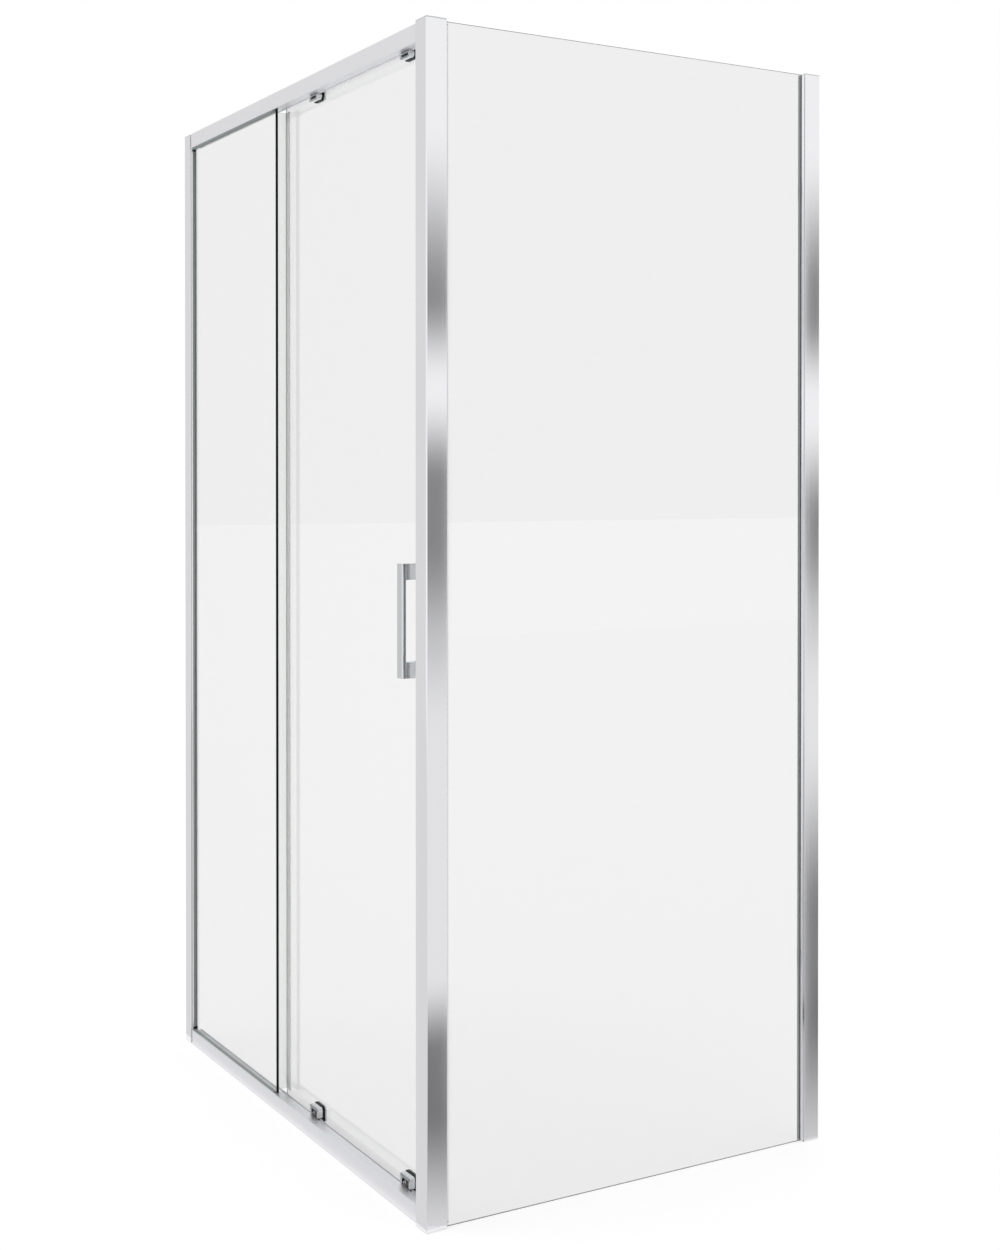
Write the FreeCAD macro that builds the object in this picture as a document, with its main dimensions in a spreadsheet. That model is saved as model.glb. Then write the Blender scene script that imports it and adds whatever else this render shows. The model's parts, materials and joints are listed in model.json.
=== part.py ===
import FreeCAD, Part
import os
import Sketcher
from FreeCAD import Placement, Rotation, Vector

# Corner shower enclosure with a sliding door: a fixed pane and a sliding pane between two rails
# across the front, a side pane without rails, a corner post and a wall profile at each wall.
# Millimetres. X runs along the front towards the corner post, Y from the front into the shower,
# Z up. The origin is the middle of the footprint, at floor level.

SIZES = {
    # overall
    "width": 1100.0,               # wall to the outer face of the side panel
    "depth": 790.0,                # outer face of the front to the other wall
    "height": 1900.0,              # floor to the top of the corner post's cap
    "post_cap": 2.0,               # thickness of that cap
    # aluminium extrusions
    "metal": 1.6,                  # wall of every extrusion
    "profile_width": 32.0,         # face of a wall profile, seen from outside
    "profile_depth": 18.5,         # wall profile, from the outer face inwards
    "post_depth": 46.0,            # and corner post
    "rail_setback": 5.0,           # rails and front panes behind the post's front face
    "profile_cap": 1.6,            # plastic cap on top of a wall profile
    "jamb_back": 8.0,              # wall to the back of the jamb inside the wall profile
    "jamb_reveal": 5.0,            # how far the jamb stands out of the wall profile
    "slide_fit": 0.3,              # gap at each side of the jamb in its wall profile
    "jamb_groove": 12.0,           # depth of the jamb's groove for the glass
    "post_width": 36.0,            # front face of the corner post
    "post_side": 37.0,             # side face of the corner post
    "post_box": 24.0,              # raised part of that side face
    "post_step": 1.2,              # step from the raised part down to the flange
    "post_groove_wall": 15.0,      # outer face of the side to the inner wall of the groove
    "post_round": 2.0,             # round on the post's outer corner
    # rails
    "rail_depth": 40.0,
    "rail_flange": 29.0,           # front face of a rail
    "rail_lip": 14.0,              # rear wall of a rail
    "rail_gap": 0.4,               # open joint between a rail and the jamb
    "rail_web": 15.0,              # front face to the web between glass groove and track
    "ledge_height": 24.8,          # outer face of the rail to the track ledge
    "bead_start": 22.4,            # front face to the bead that the wheels run on
    "bead_width": 1.6,
    "bead_rise": 1.6,              # bead above and below the ledge
    # glass
    "glass": 5.0,
    "fixed_inset": 8.0,            # rails' front face to the face of the fixed glass
    "side_inset": 5.0,             # outer side face to the face of the side glass
    "glass_bed": 1.4,              # glass edge to the bottom of its groove
    "side_glass_gap": 1.8,         # side glass above the floor and below the frame's top
    "fixed_glass_gap": 15.0,       # fixed glass to the outer face of each rail
    "fixed_glass_edge": 631.0,     # corner to the free edge of the fixed glass
    "door_face": 31.0,             # frame face to the face of the door glass
    "door_lead": 46.0,             # corner to the leading edge of the door glass
    "door_trail": 634.0,           # corner to its trailing edge
    "door_glass_gap": 8.0,         # door glass to the outer face of each rail
    "door_travel": 420.0,
    # seals
    "seal_wall": 1.1,
    "seal_fit": 0.05,              # seal to the glass that it is pushed on
    "seal_leg": 17.0,              # outer leg of the trailing seal on the glass
    "seal_grip": 10.5,              # inner leg of a seal on the glass
    "seal_brush": 0.4,             # fin tip to the fixed glass behind which it runs
    "seal_end_gap": 2.0,           # end of a door seal to the rail
    "magnet_nose": 5.6,            # magnet pocket in front of the door glass edge
    "magnet_gap": 0.4,             # door seal to post seal when the door is shut
    "gasket_height": 7.2,          # glazing gaskets in the rails and grooves
    "top_gasket_reach": 3.0,       # front gasket below the flange of the top rail
    "bottom_gasket_reach": 0.5,    # and above the flange of the bottom rail
    "filler_wall": 1.2,            # strip that closes the glass groove in the doorway
    "filler_leg": 8.0,
    # rollers
    "roller_lead": 121.0,          # corner to the middle of the leading rollers
    "roller_trail": 483.5,         # corner to the middle of the trailing rollers
    "cover_width": 36.0,
    "cover_depth": 9.3,
    "cover_wall": 1.2,
    "cover_round": 6.0,            # corners at the free end
    "cover_lift": 0.6,             # rail end of a cover to the bead
    "top_cover_end": 37.2,         # outer face of the rail to the free end of a top cover
    "bottom_cover_end": 46.6,      # and of a bottom cover
    "window_half": 12.0,           # half the width of the window in a cover
    "window_crown": 7.0,           # free end of a cover to its window
    "top_window_crown": 3.2,
    "base_thick": 2.4,             # black base between cover and glass
    "base_rim": 1.4,               # base beyond the outline of the cover
    "base_top_start": 9.0,         # outer face of the rail to the start of a top base
    "base_bottom_start": 21.0,     # and of a bottom base
    "inner_plate": 2.6,
    "screw_side": 13.5,            # middle of a roller to each of its screws
    "screw_shank": 3.0,
    "screw_head": 6.0,
    "screw_head_thick": 2.0,
    "boss": 7.0,
    "bore_fit": 0.1,               # a screw's hole is larger by this
    "glass_bore": 7.0,             # hole in the door glass for a roller screw
    "wheel_width": 5.0,
    "top_wheel": 8.0,              # running radius of a top wheel
    "bottom_wheel": 6.2,           # running radius of a bottom wheel
    "wheel_rim": 1.5,              # rim above the running groove
    "wheel_groove": 2.6,           # width of the running groove
    "wheel_run": 0.3,              # wheel to bead
    "axle": 3.0,
    "axle_head": 4.6,
    "axle_head_thick": 1.1,
    "running_fit": 0.05,           # radial play of a wheel or bearing on its axle
    "bearing": 8.0,                # outer diameter of a top wheel's bearing
    "bearing_width": 4.0,
    "arm_half": 9.0,               # half the width of a carrier or carriage
    "arm_thick": 2.3,
    "arm_play": 0.3,               # carriage to the wheel and to the base
    "arm_tab": 22.0,               # outer face of the rail to the carriage's finger tab
    "arm_end": 42.6,               # and to the carriage's other end
    "release_lift": 2.2,           # travel of the carriage that frees the wheel
    "spring_wire": 0.4,
    "spring_width": 2.2,
    "spring_pitch": 1.0,
    "spring_seat": 40.0,           # outer face of the rail to the seat of the spring
    # handle
    "handle_place": 105.0,         # corner to the middle of the handle
    "handle_height": 950.5,        # floor to the middle of the handle
    "handle_length": 185.0,
    "handle_width": 20.0,
    "handle_thick": 7.0,
    "handle_foot": 26.0,           # height of each foot
    "handle_front": 1.0,           # frame face to the face of the outer handle
    "handle_round": 1.0,           # inside corner between bar and foot
    "handle_edge": 3.0,            # long front edges of the bar
    "handle_washer": 0.8,
    "handle_washer_side": 16.0,
    "handle_bore": 10.0,           # hole in the door glass
    "handle_stud": 4.0,
    "handle_stud_depth": 10.0,     # stud in each foot
    # fasteners of the frame
    "wall_hole": 5.0,              # hole for a wall screw
    "wall_hole_margin": 100.0,     # end of a wall profile to the nearest hole
    "jamb_screw": 4.0,
    "jamb_screw_head": 8.0,
    "jamb_screw_head_thick": 2.2,
    "jamb_screw_length": 6.0,
    "jamb_screw_margin": 150.0,
    "jamb_screw_reach": 14.3,      # wall to the jamb screws
    "screw_cap": 11.0,
    "screw_cap_wall": 1.2,
    "rail_screw": 3.5,
    "rail_screw_length": 14.0,
    "rail_screw_place": 8.3,       # front face of the rail to the rail screws
    "rail_screw_height": 7.6,      # outer face of the rail to the rail screws
    "block_length": 16.0,
    "block_height": 13.6,          # outer face of the rail to the end of the block
    "stop_length": 14.0,
    "stop_depth": 10.4,
    "stop_height": 22.6,           # outer face of the rail to the end of a track stop
    "stop_gap": 0.4,               # wheel to its stop at each end of the travel
}

FLOOR_X, FLOOR_Y, FLOOR_Z = Vector(1, 0, 0), Vector(0, 1, 0), Vector(0, 0, 1)

doc = FreeCAD.newDocument("ShowerEnclosure")
sheet = doc.addObject("Spreadsheet::Sheet", "Sizes")
for row, (alias, number) in enumerate(SIZES.items(), start=1):
    sheet.set(f"A{row}", alias)
    sheet.set(f"B{row}", str(number))
    sheet.setAlias(f"B{row}", alias)
doc.recompute()


class Size:
    """A length that carries its number and its formula in the sheet side by side."""

    def __init__(self, number, formula):
        self.number = number
        self.formula = formula

    def join(self, other, sign, number):
        return Size(number, f"({self.formula} {sign} {size(other).formula})")

    def __add__(self, other):
        return self.join(other, "+", self.number + size(other).number)

    def __sub__(self, other):
        return self.join(other, "-", self.number - size(other).number)

    def __mul__(self, other):
        return self.join(other, "*", self.number * size(other).number)

    def __truediv__(self, other):
        return self.join(other, "/", self.number / size(other).number)

    def __radd__(self, other):
        return size(other) + self

    def __rsub__(self, other):
        return size(other) - self

    def __rmul__(self, other):
        return size(other) * self

    def __neg__(self):
        return Size(0.0, "0") - self


def size(value):
    """A plain number as a Size; a Size as it is."""
    return value if isinstance(value, Size) else Size(float(value), str(float(value)))


class Lengths:
    """Every cell of the sheet as an attribute."""


s = Lengths()
for alias in SIZES:
    setattr(s, alias, Size(sheet.get(alias), f"Sizes.{alias}"))


# ---------------------------------------------------------------- document helpers

def bind(thing, **values):
    """Binds each named property to the formula of its size."""
    for name, value in values.items():
        thing.setExpression(name, size(value).formula)


def place(thing, x=0, y=0, z=0, turn=None):
    """Puts a piece at x, y, z, turned by the rotation."""
    thing.Placement = Placement(Vector(), turn or Rotation())
    for axis, value in zip("xyz", (x, y, z)):
        thing.setExpression(f".Placement.Base.{axis}", size(value).formula)
    return thing


def box(x, y, z):
    """A block between two faces along each axis, each given as a pair."""
    block = doc.addObject("Part::Box", "Block")
    bind(block, Length=x[1] - x[0], Width=y[1] - y[0], Height=z[1] - z[0])
    return place(block, x[0], y[0], z[0])


TURN = {"x": Rotation(FLOOR_Y, 90), "y": Rotation(FLOOR_X, -90), "z": Rotation()}


def rod(axis, diameter, length, x, y, z):
    """A round bar that starts at x, y, z and runs along an axis."""
    bar = doc.addObject("Part::Cylinder", "Rod")
    bind(bar, Radius=size(diameter) / 2, Height=length)
    return place(bar, x, y, z, TURN[axis])


def fuse(*shapes):
    """Several overlapping or touching shapes as one solid."""
    union = doc.addObject("Part::MultiFuse", "Union")
    union.Shapes = list(shapes)
    union.Refine = True
    return union


def group(*shapes):
    """Several separate solids as one sub-part."""
    bundle = doc.addObject("Part::Compound", "Group")
    bundle.Links = list(shapes)
    return bundle


def cut(base, *tools):
    """A shape less one or more tools."""
    rest = doc.addObject("Part::Cut", "Rest")
    rest.Base = base
    rest.Tool = tools[0] if len(tools) == 1 else group(*tools)
    rest.Refine = True
    return rest


def edges_where(shape, test):
    """Names of the straight edges whose middle point and direction pass the test."""
    names = []
    for number, edge in enumerate(shape.Edges, start=1):
        if edge.Curve.TypeId == "Part::GeomLine":
            middle = edge.CenterOfMass
            if test(middle, edge.tangentAt(edge.FirstParameter)):
                names.append(f"Edge{number}")
    return names


def fillet(base, radius, test):
    """Rounds the straight edges that pass the test."""
    doc.recompute()
    rounded = doc.addObject("Part::Fillet", "Rounded")
    rounded.Base = base
    radius = size(radius).number
    rounded.Edges = [(int(name[4:]), radius, radius) for name in edges_where(base.Shape, test)]
    return rounded


def loop(sketch, points):
    """Adds a closed outline whose corners stay bound to the sheet."""
    points = [(size(x), size(y)) for x, y in points]
    first = sketch.GeometryCount
    corners = [Vector(x.number, y.number, 0) for x, y in points]
    count = len(corners)
    for number in range(count):
        line = Part.LineSegment(corners[number], corners[(number + 1) % count])
        sketch.addGeometry(line, False)
    for number in range(count):
        after = first + (number + 1) % count
        sketch.addConstraint(Sketcher.Constraint("Coincident", first + number, 2, after, 1))
    for number, corner in enumerate(points):
        for kind, value in zip(("DistanceX", "DistanceY"), corner):
            rule = Sketcher.Constraint(kind, -1, 1, first + number, 1, value.number)
            index = sketch.addConstraint(rule)
            sketch.setExpression(f"Constraints[{index}]", value.formula)


def new_sketch(body, plane, loops):
    """A sketch on one of the body's own planes, made of closed outlines."""
    sketch = body.newObject("Sketcher::SketchObject", "Outline")
    origin = [plane_ for plane_ in body.Origin.OriginFeatures if plane_.Role == plane][0]
    sketch.AttachmentSupport = [(origin, "")]
    sketch.MapMode = "FlatFace"
    for points in loops:
        loop(sketch, points)
    return sketch


def extrusion(plane, length, *loops, backwards=False):
    """A bar of constant section: the first outline is the skin, the others are hollows."""
    body = doc.addObject("PartDesign::Body", "Bar")
    pad = body.newObject("PartDesign::Pad", "Pad")
    pad.Profile = new_sketch(body, plane, loops)
    bind(pad, Length=length)
    pad.Reversed = backwards
    return body


def round_edges(body, radius, test):
    """Rounds the straight edges of a body that pass the test."""
    doc.recompute()
    base = body.Tip
    names = edges_where(base.Shape, test)
    soft = body.newObject("PartDesign::Fillet", "Soft")
    soft.Base = (base, names)
    bind(soft, Radius=radius)
    body.Tip = soft


def turned(*points):
    """A ring turned about Y from an outline of radius and place along Y."""
    body = doc.addObject("PartDesign::Body", "Turned")
    sketch = new_sketch(body, "XY_Plane", [points])
    spin = body.newObject("PartDesign::Revolution", "Spin")
    spin.Profile = sketch
    spin.ReferenceAxis = (sketch, ["V_Axis"])
    spin.Angle = 360.0
    return body


def rectangle(x, y):
    """Corner points of a rectangle between two pairs of faces."""
    return [(x[0], y[0]), (x[1], y[0]), (x[1], y[1]), (x[0], y[1])]


parts = {}


def part(name, thing):
    """Names a sub-part, so that it is written to its own file."""
    thing.Label = name
    parts[name] = thing
    return thing


# ---------------------------------------------------------------- the frame's planes

corner_x = s.width / 2
wall_x = -s.width / 2
post_y = -s.depth / 2
front_y = post_y + s.rail_setback           # front face of the rails
wall_y = s.depth / 2
frame_top = s.height - s.post_cap
profile_length = frame_top - s.profile_cap

fixed_back = s.fixed_inset + s.glass
side_back = s.side_inset + s.glass
door_back = s.door_face + s.glass
bead_end = s.bead_start + s.bead_width
ledge_end = s.ledge_height + s.metal
bead_top = ledge_end + s.bead_rise          # the bottom wheels run on this side
bead_low = s.ledge_height - s.bead_rise     # and the top wheels on this one
jamb_face = s.profile_width + s.jamb_reveal
jamb_near = s.metal + s.slide_fit           # jamb inside the wall profile
jamb_far = s.profile_depth - s.metal - s.slide_fit
groove_near = jamb_near + s.metal           # its groove for the glass
groove_far = jamb_far - s.metal
groove_bottom = jamb_face - s.jamb_groove
rail_start = wall_x + jamb_face + s.rail_gap
rail_end = corner_x - s.post_width
rail_length = rail_end - rail_start

# A piece of the front's lower edge is drawn with Z from the floor. The same piece at the upper
# edge is turned over about Y, so that Z runs down from the frame's top.
OVER = Rotation(FLOOR_Y, 180)
# An upright of the front is drawn from the wall along X and inwards along Y. The same upright
# of the side panel is turned over, so that it runs from the other wall and inwards along X.
SIDEWAYS = Rotation(Vector(1, -1, 0), 180)


def at_bottom(thing, x):
    return place(thing, x, front_y, 0)


def at_top(thing, x):
    return place(thing, x, front_y, frame_top, OVER)


def at_front_wall(thing):
    return place(thing, wall_x, front_y, 0)


def at_side_wall(thing):
    return place(thing, corner_x, wall_y, profile_length, SIDEWAYS)


# ---------------------------------------------------------------- uprights

def spread(margin):
    """Three heights: near each end and in the middle of a wall profile."""
    return margin, profile_length / 2, profile_length - margin


def wall_profile():
    """Channel screwed to the wall, open towards the panel, with a hole for each wall screw."""
    skin = [
        (0, 0), (s.profile_width, 0), (s.profile_width, s.metal), (s.metal, s.metal),
        (s.metal, s.profile_depth - s.metal), (s.profile_width, s.profile_depth - s.metal),
        (s.profile_width, s.profile_depth), (0, s.profile_depth),
    ]
    channel = extrusion("XY_Plane", profile_length, skin)
    middle = s.profile_depth / 2
    holes = [rod("x", s.wall_hole, s.metal * 3, -s.metal, middle, z)
             for z in spread(s.wall_hole_margin)]
    holes += [rod("y", s.jamb_screw + s.bore_fit, s.metal * 3,
                  s.jamb_screw_reach, s.profile_depth - s.metal * 2, z)
              for z in spread(s.jamb_screw_margin)]
    return cut(channel, *holes)


def jamb_profile():
    """Box that slides in the wall profile and holds the glass in a groove."""
    skin = [
        (s.jamb_back, jamb_near), (jamb_face, jamb_near), (jamb_face, groove_near),
        (groove_bottom, groove_near), (groove_bottom, groove_far), (jamb_face, groove_far),
        (jamb_face, jamb_far), (s.jamb_back, jamb_far),
    ]
    hollow = rectangle((s.jamb_back + s.metal, groove_bottom - s.metal), (groove_near, groove_far))
    bar = extrusion("XY_Plane", profile_length, skin, hollow)
    holes = [rod("y", s.jamb_screw + s.bore_fit, s.metal * 3, s.jamb_screw_reach,
                 groove_far - s.metal, z)
             for z in spread(s.jamb_screw_margin)]
    return bar, holes


def rail_screw_holes(face, y):
    """Holes along X for the screws that hold both rails, through a wall that starts at face."""
    return [rod("x", s.rail_screw + s.bore_fit, s.metal * 3, face - s.metal, y, z)
            for z in (s.rail_screw_height, frame_top - s.rail_screw_height)]


def jamb_gaskets(inset, margin):
    """Strip at each side of the glass in the jamb's groove, short of each end by a margin."""
    start, end = jamb_face - s.gasket_height - s.glass_bed, jamb_face - s.rail_gap
    rows = (groove_near, inset), (inset + s.glass, groove_far)
    return group(*[box((start, end), row, (margin, profile_length - margin)) for row in rows])


def jamb_screws():
    """Screws from inside the shower that fix the jamb in its wall profile."""
    face = s.profile_depth
    screws = []
    for z in spread(s.jamb_screw_margin):
        head = rod("y", s.jamb_screw_head, s.jamb_screw_head_thick, s.jamb_screw_reach, face, z)
        shank = rod("y", s.jamb_screw, s.jamb_screw_length, s.jamb_screw_reach,
                    face - s.jamb_screw_length, z)
        screws.append(fuse(head, shank))
    return group(*screws)


def jamb_screw_caps():
    """Round caps pushed over those screws."""
    face, room = s.profile_depth, s.jamb_screw_head_thick + s.bore_fit
    caps = []
    for z in spread(s.jamb_screw_margin):
        shell = rod("y", s.screw_cap, room + s.screw_cap_wall, s.jamb_screw_reach, face, z)
        hollow = rod("y", s.jamb_screw_head + s.bore_fit * 2, room, s.jamb_screw_reach, face, z)
        caps.append(cut(shell, hollow))
    return group(*caps)


at_front_wall(part("front_wall_profile", wall_profile()))
at_side_wall(part("side_wall_profile", wall_profile()))

front_bar, front_holes = jamb_profile()
front_holes += rail_screw_holes(groove_bottom - s.metal, s.rail_screw_place)
at_front_wall(part("front_jamb_profile", cut(front_bar, *front_holes)))
side_bar, side_holes = jamb_profile()
at_side_wall(part("side_jamb_profile", cut(side_bar, *side_holes)))

part("fixed_glass_jamb_gaskets", at_front_wall(jamb_gaskets(
    s.fixed_inset, s.rail_flange + s.top_gasket_reach + s.seal_end_gap)))
part("side_glass_jamb_gaskets", at_side_wall(jamb_gaskets(s.side_inset, s.seal_end_gap)))
part("jamb_screws", group(at_front_wall(jamb_screws()), at_side_wall(jamb_screws())))
part("jamb_screw_caps", group(at_front_wall(jamb_screw_caps()), at_side_wall(jamb_screw_caps())))


def profile_cap():
    """Cap on the upper end of a wall profile and its jamb."""
    return box((0, s.profile_width), (0, s.profile_depth), (0, s.profile_cap))


part("wall_profile_caps", group(
    place(profile_cap(), wall_x, front_y, profile_length),
    place(profile_cap(), corner_x, wall_y, frame_top, SIDEWAYS),
))


# ---------------------------------------------------------------- corner post

def post_skin():
    """Outline of the post, X negative from its outer side face and Y inwards from its front."""
    inner = s.post_groove_wall
    return [
        (0, 0), (0, s.post_box), (-s.post_step, s.post_box), (-s.post_step, s.post_side),
        (-s.post_step - s.metal, s.post_side), (-s.post_step - s.metal, s.post_box - s.metal / 2),
        (-inner, s.post_box - s.metal / 2), (-inner, s.post_depth),
        (-s.post_width, s.post_depth), (-s.post_width, 0),
    ]


def post_hollow(x, y):
    """Chamber of the post between two pairs of wall faces."""
    return rectangle((-x[1] + s.metal, -x[0] - s.metal), (y[0] + s.metal, y[1] - s.metal))


groove_floor = s.post_box - s.metal / 2
post_bar = extrusion(
    "XY_Plane", frame_top, post_skin(),
    post_hollow((0, s.post_width), (0, groove_floor)),
    post_hollow((s.post_groove_wall, s.post_width), (groove_floor - s.metal, s.post_depth)),
)
round_edges(post_bar, s.post_round, lambda middle, along: abs(along.z) > 0.9
            and abs(middle.x) < 0.01 and abs(middle.y) < 0.01)
post_screw_holes = rail_screw_holes(-s.post_width, s.rail_setback + s.rail_screw_place)
place(part("corner_post", cut(post_bar, *post_screw_holes)), corner_x, post_y, 0)

cap_skin = post_skin()[:4] + [(-s.post_groove_wall, s.post_side)] + post_skin()[7:]
place(part("corner_post_cap", extrusion("XY_Plane", s.post_cap, cap_skin)),
      corner_x, post_y, frame_top)


def post_gaskets():
    """Strip at each side of the side glass in the post's groove."""
    end = s.post_side - s.rail_gap
    columns = ((-s.side_inset, -s.post_step - s.metal), (-s.post_groove_wall, -side_back))
    heights = s.seal_end_gap, frame_top - s.seal_end_gap
    return group(*[box(column, (end - s.gasket_height, end), heights) for column in columns])


part("side_glass_post_gaskets", place(post_gaskets(), corner_x, post_y, 0))


# ---------------------------------------------------------------- rails

def rail():
    """Rail with a groove for the fixed glass, and behind it the beaded ledge for the wheels."""
    back = s.rail_depth
    skin = [
        (0, 0), (back, 0), (back, s.rail_lip), (back - s.metal, s.rail_lip),
        (back - s.metal, s.metal), (s.rail_web + s.metal, s.metal),
        (s.rail_web + s.metal, s.ledge_height), (s.bead_start, s.ledge_height),
        (s.bead_start, bead_low), (bead_end, bead_low), (bead_end, bead_top),
        (s.bead_start, bead_top), (s.bead_start, ledge_end), (s.rail_web, ledge_end),
        (s.rail_web, s.metal), (s.metal, s.metal), (s.metal, s.rail_flange), (0, s.rail_flange),
    ]
    return extrusion("YZ_Plane", rail_length, skin)


at_bottom(part("bottom_rail", rail()), rail_start)
at_top(part("top_rail", rail()), rail_end)

gasket_length = (corner_x - s.fixed_glass_edge) - rail_start


def rail_gaskets(reach):
    """Strip in front of and behind the fixed glass in a rail's groove."""
    front = box((0, gasket_length), (s.metal, s.fixed_inset),
                (s.rail_flange - s.gasket_height, s.rail_flange + reach))
    rear = box((0, gasket_length), (fixed_back, s.rail_web),
               (ledge_end - s.gasket_height, ledge_end - s.rail_gap))
    return group(front, rear)


part("bottom_rail_gaskets", at_bottom(rail_gaskets(s.bottom_gasket_reach), rail_start))
part("top_rail_gaskets", at_top(rail_gaskets(s.top_gasket_reach), rail_start + gasket_length))


def groove_filler():
    """Clip-in strip between the fixed glass and the post, level with the ledge."""
    near, far, wall = s.metal, s.rail_web, s.filler_wall
    low, skin_low = ledge_end - s.filler_leg, ledge_end - wall
    return extrusion("YZ_Plane", rail_length - gasket_length, [
        (near, low), (near + wall, low), (near + wall, skin_low), (far - wall, skin_low),
        (far - wall, low), (far, low), (far, ledge_end), (near, ledge_end)])


part("groove_fillers", group(at_bottom(groove_filler(), rail_start + gasket_length),
                             at_top(groove_filler(), rail_end)))


def end_block(start, hole_start):
    """Block in the end of a rail that its screw bites into."""
    block = box((start, start + s.block_length), (s.metal, s.rail_web),
                (s.metal, s.block_height))
    hole = rod("x", s.rail_screw + s.bore_fit, s.rail_screw_length,
               hole_start, s.rail_screw_place, s.rail_screw_height)
    return cut(block, hole)


def end_blocks():
    far = rail_length - s.block_length
    return group(end_block(0, 0), end_block(far, rail_length - s.rail_screw_length))


part("rail_end_blocks", group(at_bottom(end_blocks(), rail_start), at_top(end_blocks(), rail_end)))


def rail_screws():
    """One screw at each end of a rail, with its head inside the upright."""
    wall_side = -s.rail_gap - s.jamb_groove - s.metal
    y, z = s.rail_screw_place, s.rail_screw_height
    left = fuse(
        rod("x", s.screw_head, s.screw_head_thick, wall_side - s.screw_head_thick, y, z),
        rod("x", s.rail_screw, s.rail_screw_length - wall_side - s.bore_fit, wall_side, y, z))
    post_side = rail_length + s.metal
    reach = s.rail_screw_length + s.metal - s.bore_fit
    right = fuse(
        rod("x", s.screw_head, s.screw_head_thick, post_side, y, z),
        rod("x", s.rail_screw, reach, post_side - reach, y, z))
    return left, right


part("rail_screws", group(
    *[at_bottom(screw, rail_start) for screw in rail_screws()],
    *[place(screw, rail_start, front_y, frame_top - s.rail_screw_height * 2)
      for screw in rail_screws()],
))


def track_stop(face, side):
    """Buffer in the top rail; face is the side that the wheel meets."""
    ends = (face, face + s.stop_length) if side > 0 else (face - s.stop_length, face)
    web = s.rail_web + s.metal
    return box(ends, (web, web + s.stop_depth), (s.metal, s.stop_height))


top_rim = s.top_wheel + s.wheel_rim
closed_stop = s.roller_lead - top_rim - s.stop_gap
open_stop = s.roller_trail + s.door_travel + top_rim + s.stop_gap
part("track_stops", at_top(group(track_stop(closed_stop, -1), track_stop(open_stop, 1)),
                           corner_x))


# ---------------------------------------------------------------- glass panes

def pane(x, y, z):
    return box(x, y, z)


glass_edge_at_wall = wall_x + jamb_face - s.jamb_groove + s.glass_bed
part("fixed_glass", pane(
    (glass_edge_at_wall, corner_x - s.fixed_glass_edge),
    (front_y + s.fixed_inset, front_y + fixed_back),
    (s.fixed_glass_gap, frame_top - s.fixed_glass_gap)))

part("side_glass", pane(
    (corner_x - side_back, corner_x - s.side_inset),
    (post_y + groove_floor + s.glass_bed,
     wall_y - jamb_face + s.jamb_groove - s.glass_bed),
    (s.side_glass_gap, frame_top - s.side_glass_gap)))

door_front = front_y + s.door_face
lead_x = corner_x - s.roller_lead
trail_x = corner_x - s.roller_trail
handle_x = corner_x - s.handle_place
stud_half = (s.handle_length - s.handle_foot) / 2
stud_heights = (s.handle_height - stud_half, s.handle_height + stud_half)
top_screw = s.top_cover_end - s.cover_wall - s.boss / 2
bottom_screw = s.bottom_cover_end - s.cover_wall - s.boss
roller_screw_spots = [
    (middle + side * s.screw_side, z)
    for middle in (lead_x, trail_x)
    for z in (bottom_screw, frame_top - top_screw)
    for side in (-1, 1)
]

door_pane = pane(
    (corner_x - s.door_trail, corner_x - s.door_lead),
    (door_front, door_front + s.glass),
    (s.door_glass_gap, frame_top - s.door_glass_gap))
door_holes = [rod("y", s.glass_bore, s.glass * 3, x, door_front - s.glass, z)
              for x, z in roller_screw_spots]
door_holes += [rod("y", s.handle_bore, s.glass * 3, handle_x, door_front - s.glass, z)
               for z in stud_heights]
part("door_glass", cut(door_pane, *door_holes))


# ---------------------------------------------------------------- door seals

seal_low = s.rail_flange + s.seal_end_gap
seal_length = frame_top - seal_low * 2
leg_out = s.door_face - s.seal_fit
leg_in = door_back + s.seal_fit


def trailing_seal():
    """Seal pushed on the trailing edge, with a fin that wipes along the fixed glass.

    X is negative beyond the glass edge; Y is inwards from the frame's face.
    """
    inside, outside = -s.seal_fit * 4, -s.seal_fit * 4 - s.seal_wall
    tip = fixed_back + s.seal_brush
    skin = [
        (s.seal_leg, leg_out - s.seal_wall), (s.seal_leg, leg_out), (inside, leg_out),
        (inside, leg_in), (s.seal_grip, leg_in), (s.seal_grip, leg_in + s.seal_wall),
        (outside, leg_in + s.seal_wall), (outside, tip), (inside, tip),
        (inside, leg_out - s.seal_wall),
    ]
    return extrusion("XY_Plane", seal_length, skin)


place(part("door_trailing_seal", trailing_seal()), corner_x - s.door_trail, front_y, seal_low)

magnet_rows = (s.door_face, door_back)
nose_out = leg_out - s.seal_wall
nose_in = leg_in + s.seal_wall


def leading_seal():
    """Seal pushed on the leading edge, with a pocket for its magnet. X is towards the post."""
    edge, nose = s.seal_fit * 4, s.magnet_nose
    skin = [
        (-s.seal_grip, nose_out), (nose, nose_out), (nose, nose_in), (-s.seal_grip, nose_in),
        (-s.seal_grip, leg_in), (edge, leg_in), (edge, leg_out), (-s.seal_grip, leg_out),
    ]
    pocket = rectangle((edge + s.seal_wall, nose - s.seal_wall), magnet_rows)
    return extrusion("XY_Plane", seal_length, skin, pocket)


lead_edge = corner_x - s.door_lead
place(part("door_magnet_seal", leading_seal()), lead_edge, front_y, seal_low)
part("door_magnet", place(group(box(
    (s.seal_fit * 4 + s.seal_wall, s.magnet_nose - s.seal_wall), magnet_rows, (0, seal_length))),
    lead_edge, front_y, seal_low))

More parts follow.
